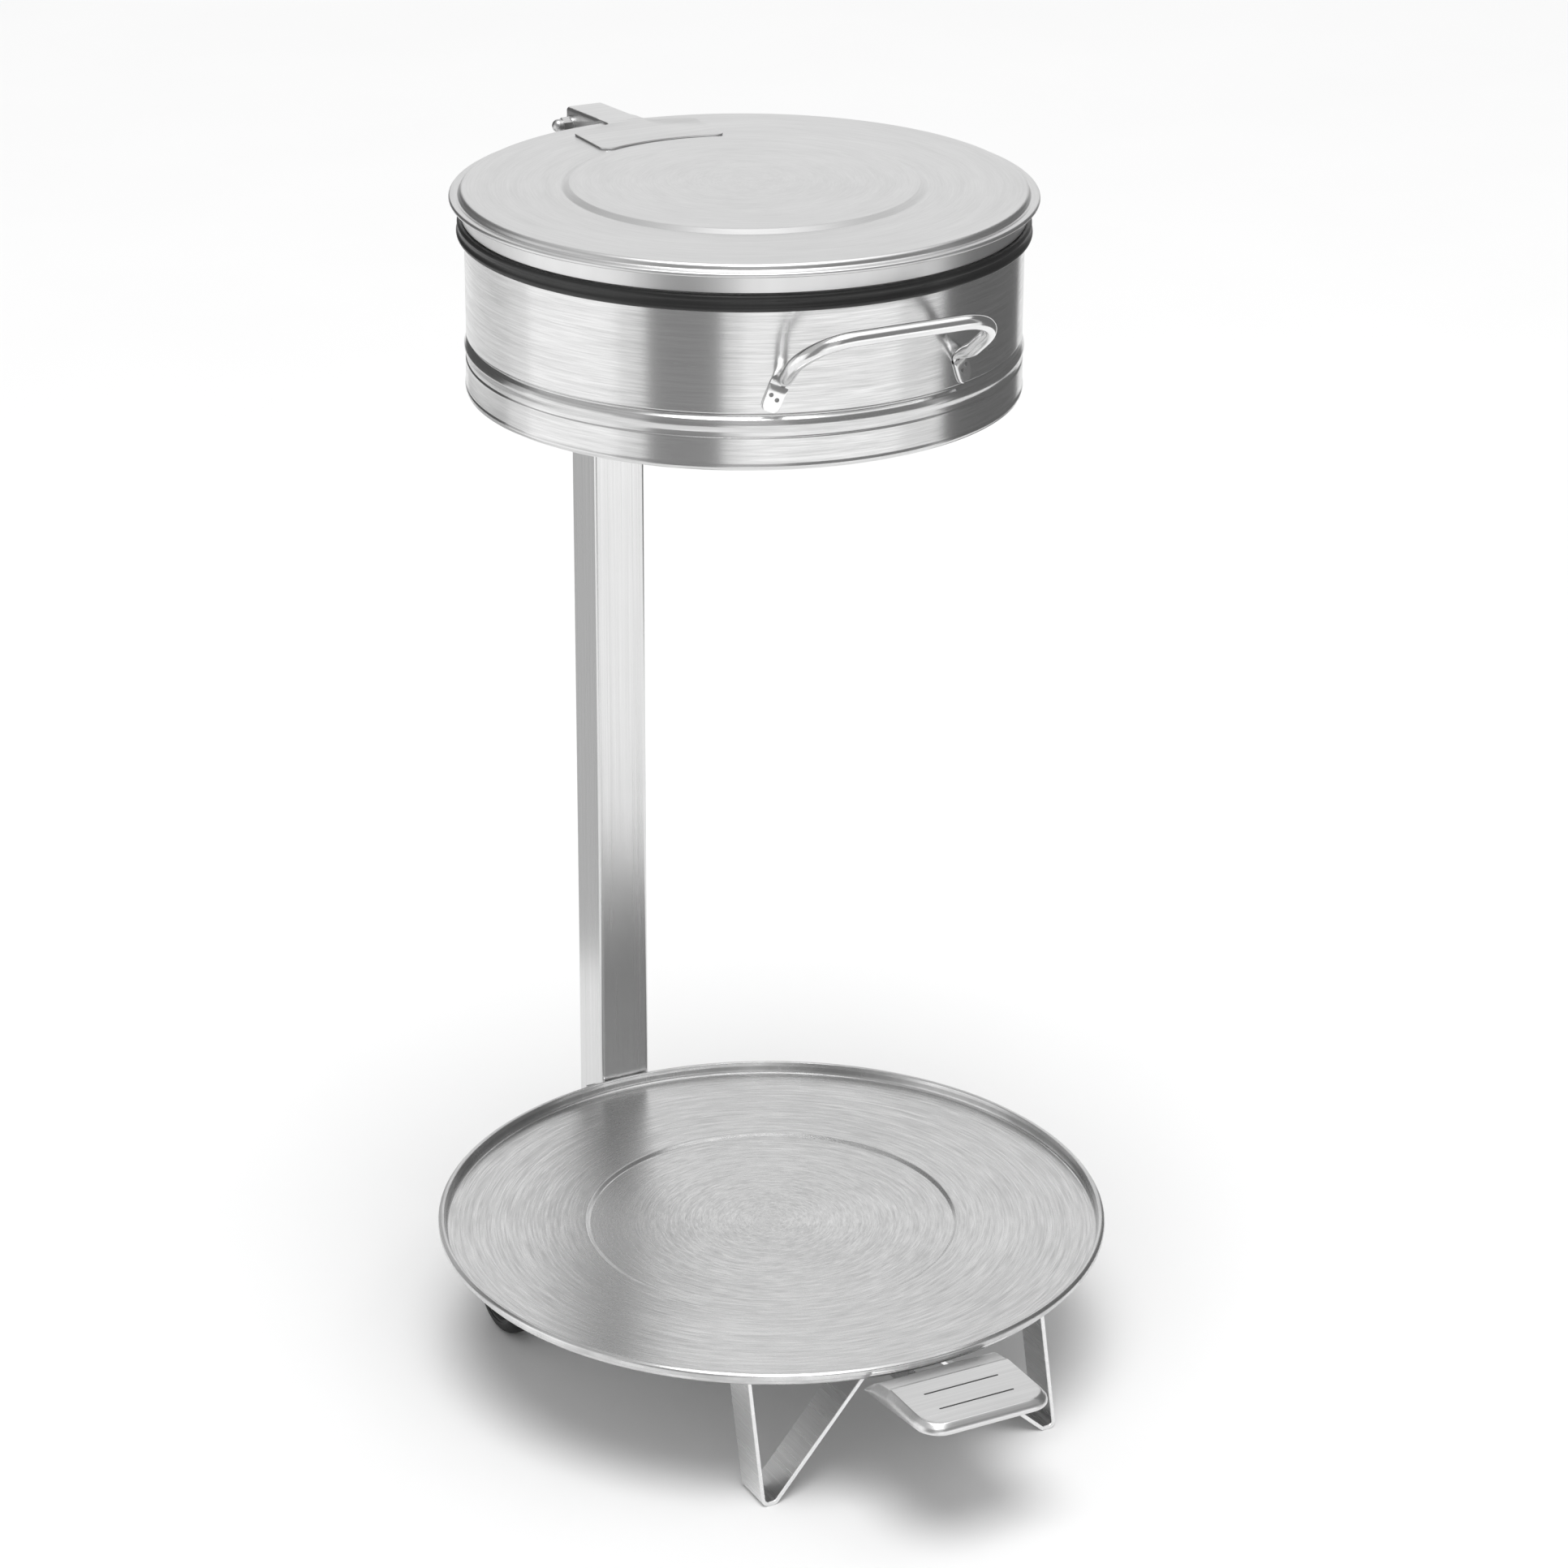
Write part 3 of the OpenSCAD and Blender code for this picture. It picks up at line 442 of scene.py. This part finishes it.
line = handle_half()
N_FLAT, N_NECK, SEG = 7, 13, 32                  # stations on the flat end and in the neck, points per loop
FLAT_W, FLAT_H = 6.5, 0.95                       # half width and half thickness of the flattened end
loops = []
across0 = None
for i, p in enumerate(line):
    a, b = line[max(i - 1, 0)], line[min(i + 1, len(line) - 1)]
    t = (b - a).normalized() if i < len(line) - 1 else Vector((-1, 0, 0))
    side = out_n.cross(t).normalized() if across0 is None else (across0 - t * across0.dot(t)).normalized()
    across0 = side
    facing = side.cross(t).normalized()
    if facing.dot(out_n) < 0 and i < N_FLAT:
        facing = -facing
    g = min(1.0, max(0.0, (i - N_FLAT + 1) / (N_NECK - 2)))
    g = g * g * (3 - 2 * g)
    w, h = FLAT_W + (HR - FLAT_W) * g, FLAT_H + (HR - FLAT_H) * g
    if i < 5:
        w = FLAT_W * (0.62, 0.8, 0.93, 0.99, 1.0)[i]
    power = 0.45 + 0.55 * g
    loop = []
    for k in range(SEG):
        c, q = math.cos(2 * math.pi * k / SEG), math.sin(2 * math.pi * k / SEG)
        loop.append(p + side * (math.copysign(abs(c) ** power, c) * w)
                    + facing * (math.copysign(abs(q) ** power, q) * h))
    loops.append(loop)
mirror = [[Vector((-q.x, q.y, q.z)) for q in loop] for loop in loops[:-1]]
v, f = loft([[tuple(q) for q in loop] for loop in loops + mirror[::-1]])
mesh("handle_bar", v, f, "handle", "stand", ("handle",), sharp=40)

# Spot-weld marks: shallow dark dimples on the flattened ends
for s, side_name in ((-1, "left"), (1, "right")):
    v, f = [], []
    for du, dv in ((-2.6, 2.5), (2.9, 8.5), (-2.2, 12.5)):
        c = root - out_n * 5.12 + tab_down * (dv + 1) + wall_x * du
        ring_pts = 14
        base = len(v)
        for r, lift in ((1.5, 0.0), (1.15, 0.28), (0.5, 0.16)):
            for k in range(ring_pts):
                a = 2 * math.pi * k / ring_pts
                q = c + wall_x * (r * math.cos(a)) + Vector((0, 0, 1)) * (r * math.sin(a)) + out_n * lift
                v.append((s * q.x, q.y, q.z))
        for j in range(2):
            for k in range(ring_pts):
                k2 = (k + 1) % ring_pts
                f.append([base + j * ring_pts + k, base + j * ring_pts + k2, base + (j + 1) * ring_pts + k2,
                          base + (j + 1) * ring_pts + k])
        f.append([base + 2 * ring_pts + k for k in range(ring_pts)])
    mesh("spot_welds_" + side_name, v, f, "weld", "stand")

# ---- Pedal: pressed plate with turned-down edges and a sloping rear apron ----

P0, P1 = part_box("pedal")
PTOP, PW = P1.z / MM, P1.x / MM
PFRONT, PBACK = P0.y / MM, P1.y / MM
CORNER, SHEET = 18.0, 2.0
CREASE = 28.2                     # from the crease to the pedal's rear edge
EDGE = ((0.0, 6.0), (0.15, 5.1), (0.5, 4.2), (1.0, 3.4), (1.7, 2.6), (2.8, 1.5), (3.9, 0.4), (4.2, 0.16), (4.5, 0.03),
        (4.8, 0.0))


def blend(x, a, b):
    return min(1.0, max(0.0, (x - a) / (b - a)))


def pedal_surface(y):
    """Height of the top: flat panel, a small crease behind it, then the apron under the plate's rim."""
    y -= PBACK
    return PTOP - 0.8 * blend(y, -CREASE, -27) - 2.6 * blend(y, -27, -12) - 7.6 * blend(y, -12, 0) ** 1.2


def pedal_foot(y):
    """Height of the side's lower edge; the sides get deeper towards the back."""
    return PTOP - 7.0 - 7.0 * blend(y, PFRONT + 20, PBACK)


def pedal_inset(x, y):
    """How far a point lies inside the outline with its two rounded front corners."""
    over, short = abs(x) - (PW - CORNER), y - (PFRONT + CORNER)
    if over > 0 and short < 0:
        return CORNER - math.hypot(over, short)
    return min(PW - abs(x), y - PFRONT)


def edge_drop(d):
    for (d0, h0), (d1, h1) in zip(EDGE, EDGE[1:]):
        if d <= d1:
            return h0 + (h1 - h0) * max(0.0, d - d0) / (d1 - d0)
    return 0.0


steps_in = sorted([d for d, _ in EDGE] + [1.8, 1.95, 6.5, 9.0, 13.0])
rows = [PFRONT + d for d in steps_in] + [PFRONT + 18 + 4 * k for k in range(1, 10)]
rows = [y for y in rows if y < PBACK - 30]
rows += [PBACK + d for d in (-29, -28.2, -27.6, -27, -25, -22, -19, -16, -13, -12, -10, -8, -6, -4, -2, 0)]
top, under = [], []
for y in rows:
    short = min(0.0, y - PFRONT - CORNER)
    w = PW - CORNER + math.sqrt(max(0.0, CORNER ** 2 - short ** 2))
    xs = [w - d for d in steps_in] + [(w - 13) * k / 4 for k in (3, 2, 1, 0)]
    xs = [-x for x in xs] + xs[-2::-1]
    line_top, line_under = [], []
    for x in xs:
        d = pedal_inset(x, y)
        z = pedal_surface(y)
        drop = edge_drop(d) * (z - pedal_foot(y)) / 7
        line_top.append((x, y, z - min(drop, z - pedal_foot(y) - 0.4)))
        skirt = pedal_foot(y) if d < 1.9 else min(z - SHEET, line_top[-1][2] - 0.8)
        line_under.append((x, y, min(skirt, line_top[-1][2] - 0.4)))
    top.append(line_top)
    under.append(line_under)
n, m = len(rows), len(top[0])
v = [p for line in top for p in line] + [p for line in under for p in line]
f = []
for i in range(n - 1):
    for j in range(m - 1):
        a, b, c, d = i * m + j, i * m + j + 1, (i + 1) * m + j + 1, (i + 1) * m + j
        f += [[a, b, c, d], [d + n * m, c + n * m, b + n * m, a + n * m]]
rim = [j for j in range(m)] + [i * m + m - 1 for i in range(1, n)] + [(n - 1) * m + j for j in range(m - 2, -1, -1)]
rim += [i * m for i in range(n - 2, 0, -1)]
for k, a in enumerate(rim):
    b = rim[(k + 1) % len(rim)]
    f.append([b, a, a + n * m, b + n * m])
mesh("pedal_plate", v, f, "pressed", "pedal", ("pedal",), sharp=35)

# Two narrow pressed grooves across the pedal, drawn as flat near-black strips on its top: painted shade standing in
# for the grooves' hollows
v, f = [], []
for gy in (-275.0, -296.0):
    base = len(v)
    rim = [(28 + 0.75 * math.cos(a), 0.75 * math.sin(a)) for a in [-math.pi / 2 + math.pi * k / 8 for k in range(9)]]
    rim += [(-x, -y) for x, y in rim]
    v += [(x, PLATE + gy + y, PTOP + 0.03) for x, y in rim]
    f.append(list(range(base, base + len(rim))))
mesh("pedal_grooves", v, f, "groove", "pedal")

# ---- Hinge bracket: wing, narrow tab and folded ears ----

PIN_Y = (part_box("washer_left")[0].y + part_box("washer_left")[1].y) / 2 / MM
PIN_Z = (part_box("washer_left")[0].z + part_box("washer_left")[1].z) / 2 / MM
EAR_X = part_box("washer_right")[0].x / MM
BT = 1.5
B_BACK = PIN_Y + 7.0
WING_BACK = PIN_Y - 73.5          # rear edge of the wing's straight sides
SHOULDER = WING_BACK + 12
TAB_START = SHOULDER + 3.6
WING = 47.0                       # half width of the wing
WING_EDGE_R = 125.5               # radius of its front edge, concentric with the lid
TAB_SINK = 3.6                    # how far the tab falls towards the bolt


def bracket_stations():
    ys = [TAB_START + k * 2.0 for k in range(int((PIN_Y - 3 - TAB_START) / 2) + 1)]
    return ys + [PIN_Y - 3 + 10 * (k / 12) for k in range(1, 13)]


def ear_foot(y):
    """Lower edge of the ears at y."""
    start = PIN_Y - 47.5
    if y <= start:
        return T
    if y <= PIN_Y - 3:
        return T + (PIN_Z - 6.3 - T) * (y - start) / (PIN_Y - 3 - start)
    return PIN_Z - math.sqrt(max(0.0, 49 - (y - PIN_Y) ** 2))


loops = []
for y in bracket_stations():
    foot = ear_foot(y)
    u = min(1.0, max(0.0, (T - foot) / 3))
    ro, ri = 0.5 + 2.0 * u, 0.1 + 0.9 * u
    sink = TAB_SINK * (y - TAB_START) / (B_BACK - TAB_START)
    z1, z0 = T + BT - sink, T - sink
    right = [(EAR_X - ro, z1)] + [(EAR_X - ro + ro * math.sin(a), z1 - ro + ro * math.cos(a))
                                  for a in [math.pi / 2 * k / 6 for k in range(1, 7)]]
    right += [(EAR_X, min(foot, z1 - ro) + 0.01), (EAR_X - BT, min(foot, z0))]
    right += [(EAR_X - BT - ri + ri * math.cos(a), z0 - ri + ri * math.sin(a))
              for a in [math.pi / 2 * k / 4 for k in range(0, 5)]]
    loop = right + [(-x, z) for x, z in right[::-1]]
    loops.append([(x, y, z) for x, z in loop])
v, f = loft(loops)
mesh("bracket_tab", v, f, "pressed", "lid", ("hinge_bracket",), sharp=35)

a_edge = math.asin(WING / WING_EDGE_R)
outline = [(WING_EDGE_R * math.sin(a), MOUTH + WING_EDGE_R * math.cos(a), 0)
           for a in [-a_edge + 2 * a_edge * k / 32 for k in range(33)]]
wing = [(*outline[0][:2], 8.0)] + [p for p in outline if abs(p[0]) < WING - 17] + [(*outline[-1][:2], 8.0)]
wing += [(WING, WING_BACK, 5.0), (EAR_X, SHOULDER, 3.0), (EAR_X, SHOULDER + 4, 0), (-EAR_X, SHOULDER + 4, 0),
         (-EAR_X, SHOULDER, 3.0), (-WING, WING_BACK, 5.0)]
middle = len(outline) // 2
start = wing.index(outline[middle])
wing = wing[start:] + wing[:start] + [wing[start]]
flat = corners(wing, steps=6)[:-1]


def inset(points, d):
    n = len(points)
    out = []
    for i, p in enumerate(points):
        a, b = Vector(points[i - 1]), Vector(points[(i + 1) % n])
        p = Vector(p)
        n0, n1 = (p - a), (b - p)
        n0, n1 = Vector((-n0.y, n0.x)).normalized(), Vector((-n1.y, n1.x)).normalized()
        m = (n0 + n1) / max(0.4, 1 + n0.dot(n1))
        q = p - m * d
        out.append((q.x, q.y))
    return out


area = sum(flat[i - 1][0] * flat[i][1] - flat[i][0] * flat[i - 1][1] for i in range(len(flat)))
sign = -1 if area > 0 else 1
loops = []
for d, z in ((0.5, T + 0.02), (0.15, T + 0.3), (0.0, T + 0.5), (0.0, T + BT - 0.55), (0.2, T + BT - 0.2),
             (0.7, T + BT)):
    loops.append([(x, y, z) for x, y in inset(flat, d * sign)])
v, f = loft(loops)
mesh("bracket_wing", v, f, "pressed", "lid", (), sharp=30)

# ---- Materials on the CAD nodes that stay ----

slots = {p["node"]: p["material_slot"] for p in frame["record"]["subparts"]}
for name, obj in frame["nodes"].items():
    obj.data.materials.clear()
    obj.data.materials.append(M[SLOT_MATERIAL[slots[name]]])

# ---- Stage, light and camera ----


def card(name, azimuth, distance, width, z0, z1, value):
    """A studio card that is only seen in reflections. value: how bright it is, from a dark flag to a lit card."""
    a = math.radians(azimuth)
    out = Vector((math.sin(a), -math.cos(a), 0))
    side = Vector((math.cos(a), math.sin(a), 0))
    c = Vector((0, MOUTH * MM, 0)) + out * distance
    data = bpy.data.meshes.new(name)
    reach = side * width / 2
    foot, head = Vector((0, 0, z0)), Vector((0, 0, z1))
    pts = [c - reach + foot, c + reach + foot, c + reach + head, c - reach + head]
    data.from_pydata([tuple(p) for p in pts], [], [(0, 1, 2, 3)])
    o = bpy.data.objects.new(name, data)
    bpy.context.scene.collection.objects.link(o)
    m = bpy.data.materials.new(name)
    m.use_nodes = True
    m.node_tree.nodes.clear()
    e = m.node_tree.nodes.new("ShaderNodeEmission")
    e.inputs["Color"].default_value = (1, 1, 1, 1)
    e.inputs["Strength"].default_value = value
    mo = m.node_tree.nodes.new("ShaderNodeOutputMaterial")
    m.node_tree.links.new(e.outputs[0], mo.inputs["Surface"])
    data.materials.append(m)
    o.visible_camera = False
    o.visible_diffuse = False
    o.visible_shadow = False
    return o


floor_mesh = bpy.data.meshes.new("floor")
FLOOR = 150.0                     # half the floor's side, m
floor_mesh.from_pydata([(-FLOOR, -FLOOR, 0), (FLOOR, -FLOOR, 0), (FLOOR, FLOOR, 0), (-FLOOR, FLOOR, 0)], [],
                       [(0, 1, 2, 3)])
floor = bpy.data.objects.new("floor", floor_mesh)
bpy.context.scene.collection.objects.link(floor)
fs = Shader("floor_paper")
fplace, _ = fs.object_xyz()
fn = fs.noise(fplace, scale=3, detail=3)
fs.link(fs.ramp(fn, (0.3, grey(0.88)), (0.7, grey(0.89))), fs.bsdf.inputs["Base Color"])
fs.bsdf.inputs["Roughness"].default_value = 0.9
fs.bsdf.inputs["Specular IOR Level"].default_value = 0.1
floor_mesh.materials.append(fs.mat)

world = bpy.data.worlds.new("studio")
bpy.context.scene.world = world
world.use_nodes = True
bg = world.node_tree.nodes["Background"]
bg.inputs["Color"].default_value = (1, 1, 1, 1)
bg.inputs["Strength"].default_value = 0.56


def softbox(name, location, target, width, height, power):
    data = bpy.data.lights.new(name, "AREA")
    data.shape = "RECTANGLE"
    data.size, data.size_y, data.energy = width, height, power
    o = bpy.data.objects.new(name, data)
    bpy.context.scene.collection.objects.link(o)
    o.location = location
    o.rotation_mode = "QUATERNION"
    o.rotation_quaternion = (Vector(target) - Vector(location)).to_track_quat("-Z", "Y")
    return o


softbox("key", (0.3, -0.4, 3.2), (0, 0, 0.3), 3.0, 3.0, 22)

sun_data = bpy.data.lights.new("overhead", "SUN")
sun_data.energy = 1.62
sun_data.angle = math.radians(38)
sun = bpy.data.objects.new("overhead", sun_data)
bpy.context.scene.collection.objects.link(sun)
sun.rotation_euler = (math.radians(12), math.radians(-8), 0)

# azimuth 0 is the front (-Y), 90 the right (+X); distance, width, foot and head in m
card("card_left", -99, 1.5, 1.2, 0.0, 1.1, 1.25)
card("card_front", 4, 1.6, 2.0, 0.0, 0.5, 1.35)
card("card_front_high", 20, 1.7, 2.0, 0.55, 2.2, 0.25)
card("card_back", 152, 2.4, 2.8, 0.35, 3.0, 0.93)
card("flag_mid", -50, 1.2, 0.62, 0.0, 2.0, 0.3)
card("flag_right", 88, 1.2, 1.5, 0.0, 2.0, 0.17)
card("flag_back_left", -158, 2.0, 1.8, 0.35, 2.4, 0.1)
card("flag_back_low", -150, 0.62, 0.5, 0.0, 0.55, 0.55)

bpy.context.scene.view_settings.view_transform = "Standard"

cam_data = bpy.data.cameras.new("camera")
cam = bpy.data.objects.new("camera", cam_data)
bpy.context.scene.collection.objects.link(cam)
yaw, pitch, roll = (math.radians(a) for a in (-27.902, 22.798, 0.319))
fwd = Vector((-math.sin(yaw) * math.cos(pitch), math.cos(yaw) * math.cos(pitch), -math.sin(pitch)))
right = Vector((math.cos(yaw), math.sin(yaw), 0))
up = right.cross(fwd)
r2 = right * math.cos(roll) + up * math.sin(roll)
u2 = up * math.cos(roll) - right * math.sin(roll)
pose = Matrix((r2, u2, -fwd)).transposed().to_4x4()
pose.translation = Vector((-1.353378, -2.558656, 1.656229))
cam.matrix_world = pose
cam_data.sensor_width = 36.0
cam_data.lens = 104.37
cam_data.clip_start, cam_data.clip_end = 0.1, 60.0
cam_data.dof.use_dof = False
bpy.context.scene.camera = cam
